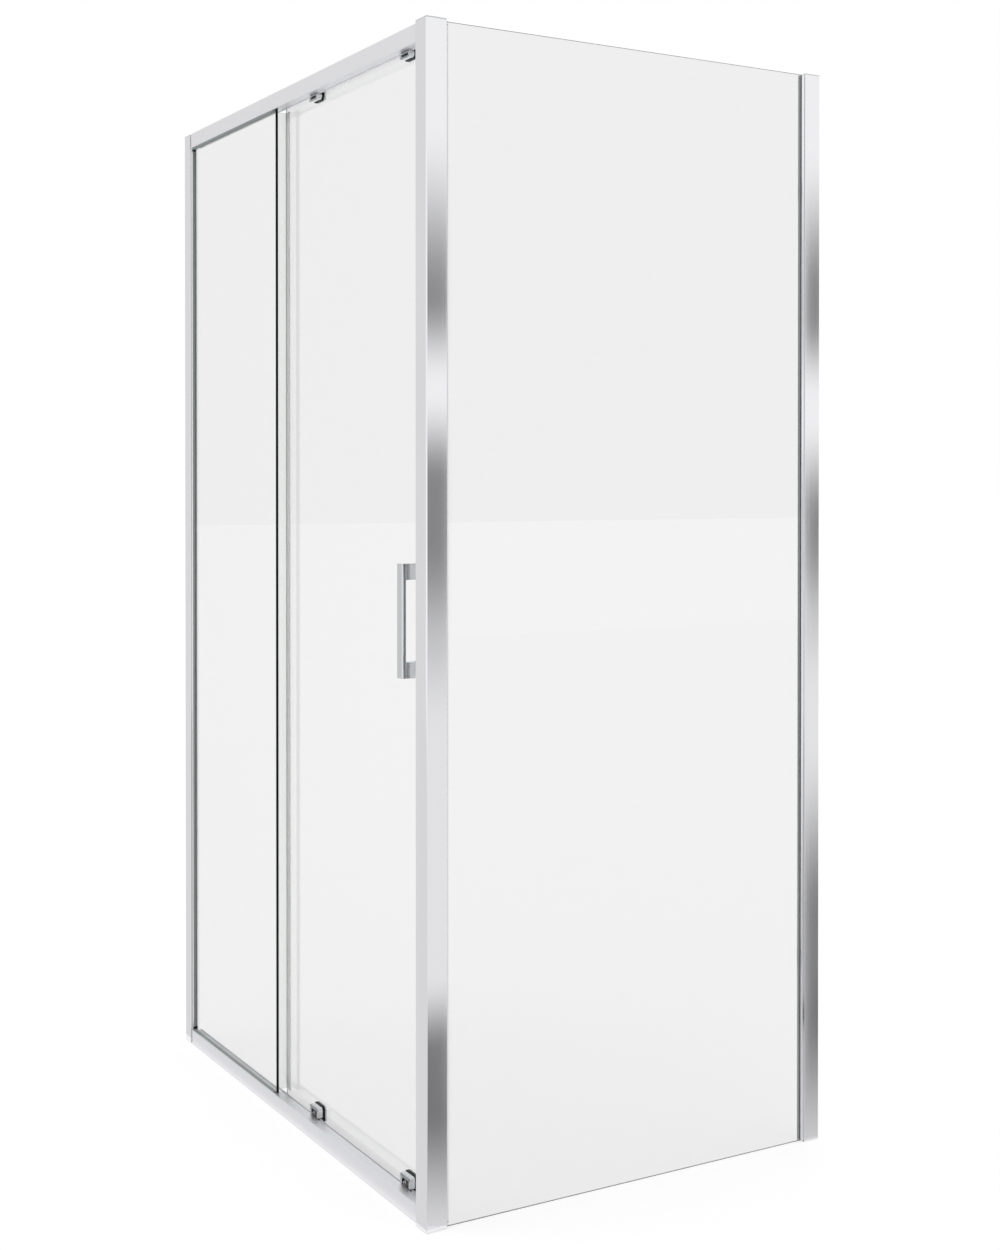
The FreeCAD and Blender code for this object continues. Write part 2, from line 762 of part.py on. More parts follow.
post_seal_width = s.door_lead - s.magnet_nose - s.magnet_gap - s.post_width
post_seal_skin = rectangle((-post_seal_width, 0), (nose_out, nose_in))
post_seal_pocket = rectangle((-post_seal_width + s.seal_wall, -s.seal_wall), magnet_rows)
place(part("post_magnet_seal",
           extrusion("XY_Plane", seal_length, post_seal_skin, post_seal_pocket)),
      rail_end, front_y, seal_low)
part("post_magnet", place(group(box(
    (-post_seal_width + s.seal_wall, -s.seal_wall), magnet_rows, (0, seal_length))),
    rail_end, front_y, seal_low))


# ---------------------------------------------------------------- handle

def handle(reach):
    """Flat bar with a foot at each end; Y runs from the bar's face towards the glass."""
    body = extrusion(
        "YZ_Plane", s.handle_width,
        [(0, 0), (reach, 0), (reach, s.handle_foot), (s.handle_thick, s.handle_foot),
         (s.handle_thick, s.handle_length - s.handle_foot),
         (reach, s.handle_length - s.handle_foot), (reach, s.handle_length),
         (0, s.handle_length)])
    thick = s.handle_thick.number
    inside = (s.handle_foot.number, (s.handle_length - s.handle_foot).number)
    round_edges(body, s.handle_round, lambda middle, along: abs(along.x) > 0.9
                and abs(middle.y - thick) < 0.01
                and min(abs(middle.z - z) for z in inside) < 0.01)
    round_edges(body, s.handle_edge, lambda middle, along: abs(along.z) > 0.9
                and abs(middle.y) < 0.01)
    stud = s.handle_stud + s.bore_fit
    bores = [rod("y", stud, s.handle_stud_depth + s.bore_fit, s.handle_width / 2,
                 reach - s.handle_stud_depth - s.bore_fit, z)
             for z in (s.handle_foot / 2, s.handle_length - s.handle_foot / 2)]
    return cut(body, *bores)


handle_reach = s.door_face - s.handle_washer - s.handle_front
handle_low = s.handle_height - s.handle_length / 2
place(part("outer_handle", handle(handle_reach)),
      handle_x - s.handle_width / 2, front_y + s.handle_front, handle_low)
place(part("inner_handle", handle(handle_reach)), handle_x + s.handle_width / 2,
      front_y + door_back + s.handle_washer + handle_reach, handle_low, Rotation(FLOOR_Z, 180))


def ring(outer, inner, length, x, y, z):
    """A bush or washer with its hole along Y."""
    return cut(rod("y", outer, length, x, y, z), rod("y", inner, length, x, y, z))


def handle_washer(y, z):
    half = s.handle_washer_side / 2
    plate = box((handle_x - half, handle_x + half), (y, y + s.handle_washer), (z - half, z + half))
    return cut(plate, rod("y", s.handle_stud + s.bore_fit, s.handle_washer, handle_x, y, z))


part("handle_washers", group(*[
    handle_washer(y, z) for z in stud_heights
    for y in (door_front - s.handle_washer, door_front + s.glass)]))
part("handle_bushes", group(*[
    ring(s.handle_bore - s.bore_fit, s.handle_stud + s.bore_fit, s.glass, handle_x, door_front, z)
    for z in stud_heights]))
stud_reach = s.handle_washer + s.handle_stud_depth
part("handle_studs", group(*[
    rod("y", s.handle_stud, s.glass + stud_reach * 2, handle_x, door_front - stud_reach, z)
    for z in stud_heights]))


# ---------------------------------------------------------------- rollers

cover_front = s.door_face - s.base_thick - s.cover_depth
cover_back = s.door_face - s.base_thick
cover_start = bead_top + s.cover_lift
wheel_front = s.bead_start + s.bead_width / 2 - s.wheel_width / 2
wheel_back = wheel_front + s.wheel_width
arm_front = wheel_back + s.arm_play
half = s.cover_width / 2
top_axis = bead_low - s.wheel_run - s.top_wheel
bottom_axis = bead_top + s.wheel_run + s.bottom_wheel


def plate_with_round_end(half_width, y, z, radius):
    """Plate whose two corners at the far end are rounded."""
    blank = box((-half_width, half_width), y, z)
    top = size(z[1]).number
    return fillet(blank, radius, lambda middle, along: abs(along.y) > 0.9
                  and abs(middle.z - top) < 0.01)


def roller_cover(end, crown, screw):
    """Chromed shell, open at the back and at the rail, with a window for the wheel."""
    shell = plate_with_round_end(half, (cover_front, cover_back), (cover_start, end),
                                 s.cover_round)
    wall = s.cover_wall
    room = plate_with_round_end(
        half - wall, (cover_front + wall, cover_back + wall), (cover_start - wall, end - wall),
        s.cover_round - wall)
    window = box((-s.window_half, s.window_half), (cover_front - wall, cover_front + wall * 2),
                 (cover_start - wall, end - crown))
    bosses = [rod("y", s.boss, s.cover_depth - wall, x, cover_front + wall, screw)
              for x in (-s.screw_side, s.screw_side)]
    threads = [rod("y", s.screw_shank + s.bore_fit, s.cover_depth - wall, x,
                   cover_front + wall * 2, screw) for x in (-s.screw_side, s.screw_side)]
    return cut(fuse(cut(shell, room, window), *bosses), *threads)


def drilled_plate(y, z, screw):
    """Base or inner plate of a roller, with its two screw holes."""
    blank = plate_with_round_end(half + s.base_rim, y, z, s.cover_round + s.base_rim)
    holes = [rod("y", s.screw_shank + s.bore_fit, (y[1] - y[0]) * 3, x, y[0] - (y[1] - y[0]),
                 screw) for x in (-s.screw_side, s.screw_side)]
    return cut(blank, *holes)


def top_carrier():
    """Arm that reaches up behind the ledge to the wheel, with its foot inside the cover."""
    arm = plate_with_round_end(s.arm_half, (arm_front, cover_back),
                               (s.base_top_start, s.top_cover_end - s.cover_wall), 1)
    foot = box((-s.arm_half, s.arm_half), (cover_front + s.cover_wall, arm_front),
               (cover_start, s.top_cover_end - s.cover_wall))
    hole = rod("y", s.axle, s.base_thick * 3, 0, arm_front - s.base_thick, top_axis)
    return cut(fuse(arm, foot), hole)


def bottom_carriage():
    """Plate that carries the wheel, slides up inside the cover and ends in a finger tab."""
    back = arm_front + s.arm_thick
    plate = box((-s.arm_half, s.arm_half), (arm_front, back), (s.arm_tab, s.arm_end))
    seat = box((-s.spring_width / 2 - s.arm_play, s.spring_width / 2 + s.arm_play),
               (arm_front - s.arm_thick, back + s.arm_thick), (s.spring_seat, s.arm_end * 2))
    hole = rod("y", s.axle, s.arm_thick * 3, 0, arm_front - s.arm_thick, bottom_axis)
    return cut(plate, seat, hole)


def axle(back, height):
    """Pin with a flat head in front of the wheel."""
    head_back = wheel_front - s.running_fit * 2
    head = rod("y", s.axle_head, s.axle_head_thick, 0, head_back - s.axle_head_thick, height)
    return fuse(head, rod("y", s.axle, back - head_back, 0, head_back, height))


def wheel(radius, bore):
    """Grooved wheel, turned about its own axis at the origin."""
    rim = radius + s.wheel_rim
    side = (s.wheel_width - s.wheel_groove) / 2
    return turned((bore, 0), (rim, 0), (rim, side), (radius, side),
                  (radius, s.wheel_width - side), (rim, s.wheel_width - side),
                  (rim, s.wheel_width), (bore, s.wheel_width))


def spring():
    """Compression spring between the carriage and the cover's end."""
    helix = doc.addObject("Part::Helix", "Coil")
    room = s.bottom_cover_end - s.cover_wall - s.spring_seat
    bind(helix, Pitch=s.spring_pitch, Height=room - s.spring_wire * 2,
         Radius=(s.spring_width - s.spring_wire) / 2)
    wire = doc.addObject("Part::Circle", "Wire")
    bind(wire, Radius=s.spring_wire / 2)
    place(wire, (s.spring_width - s.spring_wire) / 2, 0, 0, Rotation(FLOOR_X, 90))
    coil = doc.addObject("Part::Sweep", "Spring")
    coil.Sections = [wire]
    coil.Spine = (helix, ["Edge1"])
    coil.Solid = True
    coil.Frenet = True
    return coil


def bottom_roller(name, x):
    base = (cover_back, s.door_face)
    heights = (s.base_bottom_start, s.bottom_cover_end + s.base_rim)
    at_bottom(part(f"{name}_cover",
                   roller_cover(s.bottom_cover_end, s.window_crown, bottom_screw)), x)
    at_bottom(part(f"{name}_base", drilled_plate(base, heights, bottom_screw)), x)
    at_bottom(part(f"{name}_carriage", bottom_carriage()), x)
    at_bottom(part(f"{name}_axle", axle(arm_front + s.arm_thick, bottom_axis)), x)
    place(part(f"{name}_wheel", wheel(s.bottom_wheel, s.axle / 2 + s.running_fit)),
          x, front_y + wheel_front, bottom_axis)
    place(part(f"{name}_spring", spring()), x, front_y + arm_front + s.arm_thick / 2,
          s.spring_seat + s.spring_wire)


def top_roller(name, x):
    base = (cover_back, s.door_face)
    heights = (s.base_top_start, s.top_cover_end + s.base_rim)
    at_top(part(f"{name}_cover",
                roller_cover(s.top_cover_end, s.top_window_crown, top_screw)), x)
    at_top(part(f"{name}_base", drilled_plate(base, heights, top_screw)), x)
    at_top(part(f"{name}_carrier", top_carrier()), x)
    inset = (s.wheel_width - s.bearing_width) / 2
    place(part(f"{name}_wheel", wheel(s.top_wheel, s.bearing / 2)),
          x, front_y + wheel_front, frame_top - top_axis)
    place(part(f"{name}_bearing", turned(*rectangle(
        (s.axle / 2 + s.running_fit, s.bearing / 2), (0, s.bearing_width)))),
        x, front_y + wheel_front + inset, frame_top - top_axis)


bottom_roller("bottom_leading_roller", lead_x)
bottom_roller("bottom_trailing_roller", trail_x)
top_roller("top_leading_roller", lead_x)
top_roller("top_trailing_roller", trail_x)
part("top_roller_axles", group(*[at_top(axle(cover_back, top_axis), x)
                                 for x in (lead_x, trail_x)]))

inner_faces = (door_back, door_back + s.inner_plate)
part("roller_inner_plates", group(
    *[at_bottom(drilled_plate(inner_faces, (s.base_bottom_start, s.bottom_cover_end + s.base_rim),
                              bottom_screw), x) for x in (lead_x, trail_x)],
    *[at_top(drilled_plate(inner_faces, (s.base_bottom_start, s.top_cover_end + s.base_rim),
                           top_screw), x) for x in (lead_x, trail_x)]))


def roller_screw(x, z):
    """Screw from inside the shower through plate, glass and base into the cover."""
    head_face = front_y + door_back + s.inner_plate
    tip = front_y + cover_front + s.cover_wall * 2 + s.bore_fit
    return fuse(rod("y", s.screw_head, s.screw_head_thick, x, head_face, z),
                rod("y", s.screw_shank, head_face - tip, x, tip, z))


part("roller_screws", group(*[roller_screw(x, z) for x, z in roller_screw_spots]))
part("roller_bushes", group(*[
    ring(s.glass_bore - s.bore_fit, s.screw_shank + s.bore_fit, s.glass, x, door_front, z)
    for x, z in roller_screw_spots]))


# ---------------------------------------------------------------- check and write

doc.recompute()
for thing in doc.Objects:
    if "Invalid" in thing.State or "Error" in thing.State:
        raise RuntimeError(f"{thing.Name} ({thing.Label}) failed: {thing.State}")
os.makedirs("parts", exist_ok=True)
for name, thing in parts.items():
    if thing.Shape.isNull() or not thing.Shape.isValid() or not thing.Shape.Solids:
        raise RuntimeError(f"{name} has no valid shape")
for name, thing in parts.items():
    thing.Shape.exportStep(f"parts/{name}.step")
print(len(parts), "sub-parts,", sum(len(thing.Shape.Solids) for thing in parts.values()), "solids")
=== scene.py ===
# %% [markdown]
# # A shower enclosure in glass and polished aluminium
#
# The object is a corner shower enclosure. A sliding door and a fixed pane run between two rails,
# a side pane stands beside the corner post, and a profile ends each side at its wall. Almost all
# of it is clear glass on a white ground, so the picture lives on edges: the green edges of the
# glass, soft reflections in the aluminium, and four small chromed rollers. The CAD model already
# holds every piece, so these cells give it a camera, light, finishes and softened edges.

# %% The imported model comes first
import json
import math

import bmesh
import bpy
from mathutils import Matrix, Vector


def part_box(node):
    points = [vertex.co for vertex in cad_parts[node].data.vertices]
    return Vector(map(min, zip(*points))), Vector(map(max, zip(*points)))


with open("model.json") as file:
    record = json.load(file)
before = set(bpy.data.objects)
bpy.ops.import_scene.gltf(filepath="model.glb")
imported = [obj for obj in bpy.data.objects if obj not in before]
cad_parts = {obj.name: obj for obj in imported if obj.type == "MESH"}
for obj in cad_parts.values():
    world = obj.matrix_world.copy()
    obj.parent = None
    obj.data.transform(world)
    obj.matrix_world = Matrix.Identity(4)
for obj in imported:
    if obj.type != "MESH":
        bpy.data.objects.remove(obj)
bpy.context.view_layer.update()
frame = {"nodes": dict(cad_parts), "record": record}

nodes = frame["nodes"]
scene = bpy.context.scene

# %% [markdown]
# ## The camera
#
# The photo is taken from the right, at chest height, with almost no tilt: the uprights stay
# upright and both rails run to one point far to the left. A camera could be placed by eye, but
# two pixels matter on an object made of thin lines. So its place, turn and focal length were
# fitted to the long straight edges, and the frame of the picture is moved down by a lens shift,
# as an architecture photographer does it, instead of tilting the camera.

# %% A level camera with a lens shift
PHOTO_HEIGHT = 1250
FOCAL_PIXELS, HORIZON_ROW = 1742.8, 493.2
CAMERA_PLACE = (2.9545, -1.6562, 1.1774)
CAMERA_DIP, CAMERA_TURN = 0.00745, 1.04545

lens = bpy.data.cameras.new("camera")
camera = bpy.data.objects.new("camera", lens)
scene.collection.objects.link(camera)
scene.camera = camera
lens.sensor_fit = "VERTICAL"
lens.sensor_height = 36.0
lens.lens = FOCAL_PIXELS / PHOTO_HEIGHT * lens.sensor_height
lens.shift_y = (HORIZON_ROW - PHOTO_HEIGHT / 2) / PHOTO_HEIGHT
lens.clip_end = 200.0
camera.location = CAMERA_PLACE
camera.rotation_euler = (math.pi / 2 - CAMERA_DIP, 0.0, CAMERA_TURN)
print("lens", round(lens.lens, 2), "mm, shift", round(lens.shift_y, 4))

# %% [markdown]
# ## Writing colours as they look
#
# Blender computes with linear light, while a colour picker shows sRGB values. One small function
# turns the second into the first, so every finish below is written as it looks on the screen.
# A material is a graph of nodes, and long lists of links are hard to read. So one helper fills a
# node's inputs with values or links, one adds a node with its settings, and one starts a material
# with its main shader.


# %% Helpers for colours and nodes
def linear(code):
    """Linear colour with alpha from an sRGB code such as "D8DADC"."""
    values = [int(code[i:i + 2], 16) / 255 for i in (0, 2, 4)]
    return [v / 12.92 if v <= 0.04045 else ((v + 0.055) / 1.055) ** 2.4 for v in values] + [1.0]


def set_inputs(tree, node, **inputs):
    """Fills inputs with values or links; _1 is input number 1, any other underscore a space."""
    for key, value in inputs.items():
        socket = node.inputs[int(key[1:]) if key[1:].isdigit() else key.replace("_", " ")]
        if isinstance(value, bpy.types.NodeSocket):
            tree.links.new(value, socket)
        else:
            socket.default_value = value


def add_node(tree, kind, settings=None, **inputs):
    """A new node with its settings, such as the operation, and its inputs set or linked."""
    node = tree.nodes.new(kind)
    for key, value in (settings or {}).items():
        setattr(node, key, value)
    set_inputs(tree, node, **inputs)
    return node


def main_shader(material):
    """The Principled shader that every new material has."""
    return material.node_tree.nodes["Principled BSDF"]


def new_material(name, colour, roughness, **inputs):
    """A named material in a plain finish; further inputs are those of its main shader."""
    material = bpy.data.materials.new(name)
    material.use_nodes = True
    set_inputs(material.node_tree, main_shader(material), Base_Color=linear(colour),
               Roughness=roughness, **inputs)
    return material


print("D8DADC is", [round(v, 3) for v in linear("D8DADC")[:3]])

# %% [markdown]
# ## Grain on a surface
#
# No finish is perfectly even. A mould leaves a fine skin, a die leaves lines, and a plating shows
# the polish under it. An image could show them, but a noise does it at any size. It lets the
# roughness wander a little and raises a bump too small to see as a shape. The noise reads the
# piece's own coordinates in metres, so its scale comes from a real size.


# %% A noise in the roughness and in a slight bump
def add_grain(material, scale, roughness, strength, depth, detail=2.0):
    """Noise with a scale for each axis, which carries the roughness from one value to another."""
    tree = material.node_tree
    where = add_node(tree, "ShaderNodeTexCoord")
    place = add_node(tree, "ShaderNodeMapping", Vector=where.outputs["Object"], Scale=scale)
    grain = add_node(tree, "ShaderNodeTexNoise", Vector=place.outputs["Vector"], Scale=1.0,
                     Detail=detail)
    rough = add_node(tree, "ShaderNodeMapRange", Value=grain.outputs["Fac"],
                     To_Min=roughness[0], To_Max=roughness[1])
    bump = add_node(tree, "ShaderNodeBump", Height=grain.outputs["Fac"], Strength=strength,
                    Distance=depth)
    set_inputs(tree, main_shader(material), Roughness=rough.outputs["Result"],
               Normal=bump.outputs["Normal"])


print("grain is ready")

# %% [markdown]
# ## Polished aluminium
#
# The rails, post and wall profiles are extruded, polished and bright anodised. Such a surface
# mirrors its surroundings softly, and it keeps faint lines that run along the bar, from the die.
# A noise that is stretched three hundred times along the bar shows them: along X on a rail, and
# along Z on an upright. The rails are satin, because the rollers leave no mirror image in the
# track. Slots and joints of a few millimetres look dark, since hardly any light comes back out of
# them. Mirrored rays can't show that in an all white room, so ambient occlusion over a short
# distance paints that shade into their base colour. The painted shade in the slots of the top
# rail is paler, because they look down on the white floor.

# %% Aluminium with die lines along one axis
ALUMINIUM = "EEEEF1"
SATIN, POLISHED = (0.40, 0.50), (0.06, 0.13)
LINES, BREAKS = 900.0, 3.0  # in one metre across the bar, and along it
LINE_DEPTH = 0.0002
ALONG_X, ALONG_Z = (BREAKS, LINES, LINES), (LINES, LINES, BREAKS)


def shade_slots(material, light, dark, slot, shaded=(0.15, 0.6)):
    """Paints shade into the base colour of slots within a reach in millimetres; shaded is how open
    is dark, then light.
    """
    tree = material.node_tree
    air = add_node(tree, "ShaderNodeAmbientOcclusion", {"samples": 8}, Distance=slot / 1000)
    openness = add_node(tree, "ShaderNodeMapRange", Value=air.outputs["AO"],
                        From_Min=shaded[0], From_Max=shaded[1])
    # Inputs 6 and 7 and output 2 of this node are its colours.
    tint = add_node(tree, "ShaderNodeMix", {"data_type": "RGBA"},
                    _0=openness.outputs["Result"], _6=linear(dark), _7=linear(light))
    set_inputs(tree, main_shader(material), Base_Color=tint.outputs[2])


def aluminium(name, lines, roughness, slot, dark, **shading):
    """Extrusion with die lines and painted shade in its slots; slot, dark and shading are those of
    shade_slots.
    """
    material = new_material(name, ALUMINIUM, roughness[0], Metallic=1.0)
    add_grain(material, lines, roughness, strength=0.03, depth=LINE_DEPTH, detail=3.0)
    shade_slots(material, ALUMINIUM, dark, slot, **shading)
    return material


# Painted shade in the slots: near black on the bottom rail and the uprights, pale grey on the top
# rail.
low_metal = aluminium("satin anodised aluminium of the bottom rail", ALONG_X, SATIN, 4, "08090A",
                      shaded=(0.30, 0.72))
high_metal = aluminium("satin anodised aluminium of the top rail", ALONG_X, SATIN, 4, "9A9D9F",
                       shaded=(0.05, 0.32))
upright_metal = aluminium("polished aluminium, lines along Z", ALONG_Z, POLISHED, 5, "202324")
print("die lines", round(1000 / LINES, 2), "mm apart")

# %% [markdown]
# ## Glass
#
# Clear float glass looks colourless through its face. Its iron shows only where light travels a
# long way in it, so the ground edges are nearly black with a green cast. A thick slab with a true
# absorption would need many light bounces for that. Here one material asks which way its face
# looks: the broad faces are clear with a slight grey, and the narrow ones are dark and satin. The
# broad faces of the front panes look along Y, those of the side pane along X. A solid glass
# shader keeps lamps and soft fill from what stands behind it. So for shadow rays and for rays
# that gather soft light, the pane turns into a plain clear filter. The door's edges are polished
# and sit in milky seals, so they stay pale.

# %% Clear panes with dark green edges
NARROW_BELOW = 0.7  # a face that looks along the broad axis has 1 here


def pane_glass(name, tint, broad_axis, edge="0A1210"):
    """Clear glass, with a ground edge on the faces that don't look along the broad axis."""
    material = new_material(name, tint, 0.0, Transmission_Weight=1.0, IOR=1.5,
                            Specular_IOR_Level=0.12)
    tree = material.node_tree
    where = add_node(tree, "ShaderNodeTexCoord")
    split = add_node(tree, "ShaderNodeSeparateXYZ", Vector=where.outputs["Normal"])
    size = add_node(tree, "ShaderNodeMath", {"operation": "ABSOLUTE"},
                    _0=split.outputs[broad_axis])
    narrow = add_node(tree, "ShaderNodeMath", {"operation": "LESS_THAN"}, _0=size.outputs[0],
                      _1=NARROW_BELOW)
    ground_edge = add_node(tree, "ShaderNodeBsdfPrincipled", Base_Color=linear(edge),
                           Roughness=0.35, Specular_IOR_Level=0.1)
    faces = add_node(tree, "ShaderNodeMixShader", Fac=narrow.outputs[0],
                     _1=main_shader(material).outputs[0], _2=ground_edge.outputs[0])
    rays = add_node(tree, "ShaderNodeLightPath")
    gathered = add_node(tree, "ShaderNodeMath", {"operation": "MAXIMUM"},
                        _0=rays.outputs["Is Shadow Ray"], _1=rays.outputs["Is Diffuse Ray"])
    clear = add_node(tree, "ShaderNodeBsdfTransparent", Color=linear(tint))
    both = add_node(tree, "ShaderNodeMixShader", Fac=gathered.outputs[0],
                    _1=faces.outputs[0], _2=clear.outputs[0])
    set_inputs(tree, tree.nodes["Material Output"], Surface=both.outputs[0])
    return material


front_glass = pane_glass("clear float glass of the front", "F0F0F0", "Y")
door_glass = pane_glass("clear float glass of the door", "F0F0F0", "Y", "A3AFAA")
side_glass = pane_glass("clear float glass of the side", "EEEEEE", "X")
print("three panes:", front_glass.name, "/", door_glass.name, "/", side_glass.name)

# %% [markdown]
# ## Chrome, plastics and strips
#
# The handle and roller covers are chromed, so they mirror everything sharply, and their slots get
# painted shade like those of the bars. The seals are clear vinyl, a little milky. The roller
# bases, carriers and blocks are moulded black nylon with the fine skin of an eroded mould, and the
# wheels are amber nylon. The glazing strips are grey rubber. The strips that close the glass
# groove in the doorway are matt and have no painted slot shade, which would darken them inside the
# groove.

# %% The smaller finishes
SKIN_SWING, SKIN_DEPTH = 0.06, 0.0001  # of the roughness either way, and in metres


def fine_skin(name, colour, roughness, grain, strength=0.15, **inputs):
    """A finish with a fine even skin; grain is the size of its pits in millimetres."""
    material = new_material(name, colour, roughness, **inputs)
    scale = 1000.0 / grain
    swing = (roughness - SKIN_SWING, roughness + SKIN_SWING)
    add_grain(material, (scale,) * 3, swing, strength, SKIN_DEPTH)
    return material


CHROME = "D3D6D8"
chrome = fine_skin("bright chrome plating", CHROME, 0.08, 0.8, 0.01, Metallic=1.0)
# Painted shade, near black, in the slots of the chrome.
shade_slots(chrome, CHROME, "0C0E0F", 7, (0.15, 0.75))
filler_metal = fine_skin("matt anodised aluminium", "EAECEE", 0.45, 0.8, 0.05, Metallic=1.0)

FINISH = {
    "polished_aluminium": upright_metal,
    "clear_glass": front_glass,
    "chrome": chrome,
    "black_nylon": fine_skin("black nylon", "060606", 0.42, 0.5, Specular_IOR_Level=0.25),
    "wheel_nylon": fine_skin("amber nylon", "33200F", 0.35, 0.6),
    "grey_plastic": fine_skin("light grey plastic", "C9CCCE", 0.4, 0.5),
    "gasket_rubber": fine_skin("grey glazing strip", "8E9693", 0.6, 0.4),
    "magnet": fine_skin("magnetic strip", "CFD1D2", 0.5, 0.4),
    "stainless_steel": fine_skin("stainless steel", "C4C5C6", 0.28, 0.3, 0.05, Metallic=1.0),
    "clear_vinyl": fine_skin("clear vinyl", "F7F8F7", 0.12, 1.5, 0.05, IOR=1.53,
                             Transmission_Weight=0.85, Specular_IOR_Level=0.2),
    "clear_washer": fine_skin("clear nylon", "E2E6E6", 0.25, 0.8, 0.05, Transmission_Weight=0.5),
}
OWN_FINISH = {
    "bottom_rail": low_metal, "top_rail": high_metal, "groove_fillers": filler_metal,
    "door_glass": door_glass, "side_glass": side_glass,
}
slots = {entry["node"]: entry["material_slot"] for entry in frame["record"]["subparts"]}
for name, piece in nodes.items():
    piece.data.materials.clear()
    piece.data.materials.append(OWN_FINISH.get(name, FINISH[slots[name]]))
print(len(FINISH), "finishes by slot and", len(OWN_FINISH), "by name on", len(nodes), "nodes")

# %% [markdown]
# ## Soft edges
#
# Nothing that is made has a perfectly sharp edge. The bars, the roller covers and the handles get
# a bevel of a few tenths of a millimetre, which catches a thin line of light. A modifier makes it,
# because that leaves the CAD mesh as it is. The glass gets one too: ground edges have a small
# arris.

# %% A thin bevel on the visible pieces
GLASS_ARRIS, BAR_EDGE, COVER_EDGE, HANDLE_EDGE = 0.15, 0.25, 0.5, 0.4


def soften(name, width, segments=2):
    """A bevel of that width in millimetres on the sharp edges of a node."""
    bevel = nodes[name].modifiers.new("soft edge", "BEVEL")
    bevel.width = width / 1000
    bevel.segments = segments
    bevel.limit_method = "ANGLE"
    bevel.angle_limit = math.radians(50)
    bevel.harden_normals = False


for name in nodes:
    if name.endswith("_glass"):
        soften(name, GLASS_ARRIS, 1)
    elif slots[name] == "polished_aluminium":
        soften(name, BAR_EDGE)
    elif name.endswith("_cover"):
        soften(name, COVER_EDGE, 3)
    elif name.endswith("handle"):
        soften(name, HANDLE_EDGE)
print(sum(len(piece.modifiers) for piece in nodes.values()), "nodes have soft edges")

# %% [markdown]
# ## A white room
#
# The photo has a pure white ground. Making the lamps brighter would burn out the pale metal, so
# the world is white only where it is seen, directly, through glass or mirrored in metal. For all
# other rays it is a softer fill. The floor adds to its own light just enough to reach white, so
# there is no horizon line behind the glass, and it still goes grey where the object shades it.

# %% World and floor
WHITE = linear("FFFFFF")
WORLD_FILL, WORLD_SEEN = 0.8, 1.0
FLOOR_FILL, FLOOR_SEEN = 0.45, 0.71


def seen_strength(tree, fill, seen):
    """One strength for rays from the camera, a mirror or through glass, and one for the rest."""
    rays = add_node(tree, "ShaderNodeLightPath")
    total = rays.outputs["Is Camera Ray"]
    for ray in ("Is Glossy Ray", "Is Transmission Ray"):
        step = add_node(tree, "ShaderNodeMath", {"operation": "MAXIMUM"}, _0=total,
                        _1=rays.outputs[ray])
        total = step.outputs[0]
    strength = add_node(tree, "ShaderNodeMapRange", Value=total, To_Min=fill, To_Max=seen)
    return strength.outputs["Result"]


world = bpy.data.worlds.new("white studio")
scene.world = world
world.use_nodes = True
tree = world.node_tree
tree.nodes.clear()
ground = add_node(tree, "ShaderNodeBackground", Color=WHITE,
                  Strength=seen_strength(tree, WORLD_FILL, WORLD_SEEN))
add_node(tree, "ShaderNodeOutputWorld", Surface=ground.outputs[0])
scene.view_settings.view_transform = "Standard"


def sheet(name, size, place, turn=(0.0, 0.0, 0.0)):
    """A flat rectangle that belongs to the studio and not to the object."""
    mesh = bpy.data.meshes.new(name)
    form = bmesh.new()
    bmesh.ops.create_grid(form, x_segments=1, y_segments=1, size=0.5)
    bmesh.ops.scale(form, vec=(size[0], size[1], 1.0), verts=form.verts)
    form.to_mesh(mesh)
    form.free()
    piece = bpy.data.objects.new(name, mesh)
    scene.collection.objects.link(piece)
    piece.location = place
    piece.rotation_euler = turn
    return piece


floor = sheet("floor", (80.0, 80.0), (0.0, 0.0, -0.0005))
floor_finish = new_material("pale floor", "A0A0A0", 0.7, Specular_IOR_Level=0.0)
tree = floor_finish.node_tree
glow = add_node(tree, "ShaderNodeEmission", Color=WHITE,
                Strength=seen_strength(tree, FLOOR_FILL, FLOOR_SEEN))
lit = add_node(tree, "ShaderNodeAddShader", _0=main_shader(floor_finish).outputs[0],
               _1=glow.outputs[0])
set_inputs(tree, tree.nodes["Material Output"], Surface=lit.outputs[0])
floor.data.materials.append(floor_finish)
print("floor and world are white, with fills of", FLOOR_FILL, "and", WORLD_FILL)

# %% [markdown]
# ## Lamps
#
# Two soft suns, one high at the front and one at the side, give the solid pieces a little shape
# without hard shadows. A lamp near the object would leave a bright patch on the floor, which then
# shows through the panes. A sun lights the floor evenly, so the panes stay one flat tone, and the
# sun's disc is made wide to keep it soft. Mirrors and glass don't see it.

# %% Two soft suns
SUN_WIDTH = math.radians(50)
OBJECT_MIDDLE = Vector((0.0, 0.0, 0.9))


def sun(name, place, power):
    """A wide soft sun that shines from that place towards the middle of the object."""
    light = bpy.data.lights.new(name, "SUN")
    light.angle = SUN_WIDTH
    light.energy = power
    piece = bpy.data.objects.new(name, light)
    scene.collection.objects.link(piece)
    piece.location = place
    piece.rotation_euler = (OBJECT_MIDDLE - Vector(place)).to_track_quat("-Z", "Y").to_euler()
    piece.visible_glossy = piece.visible_transmission = False


sun("front sun", (-1.5, -4.0, 4.0), 0.5)
sun("side sun", (4.0, 1.5, 3.5), 0.25)
print("two soft suns")

# %% [markdown]
# ## Dark flags for the metal to mirror
#
# Polished metal in an all white room looks like paper. Photographers stand dark cards, called
# flags, where the metal mirrors them. In the photo soft dark bands lie across the sides of the
# corner post and of the wall profile. A mirror rule places the flags: the line from the camera to
# a point of the metal goes on from there with its sideways part reversed, and the flag stands
# where that line ends. Near the ground the metal mirrors the floor, so a last piece of flag lies
# there. The flags are narrow, so the panes beside the metal stay clean, and only mirrored rays
# see them. Each fades out at its ends, as a card out of focus does.

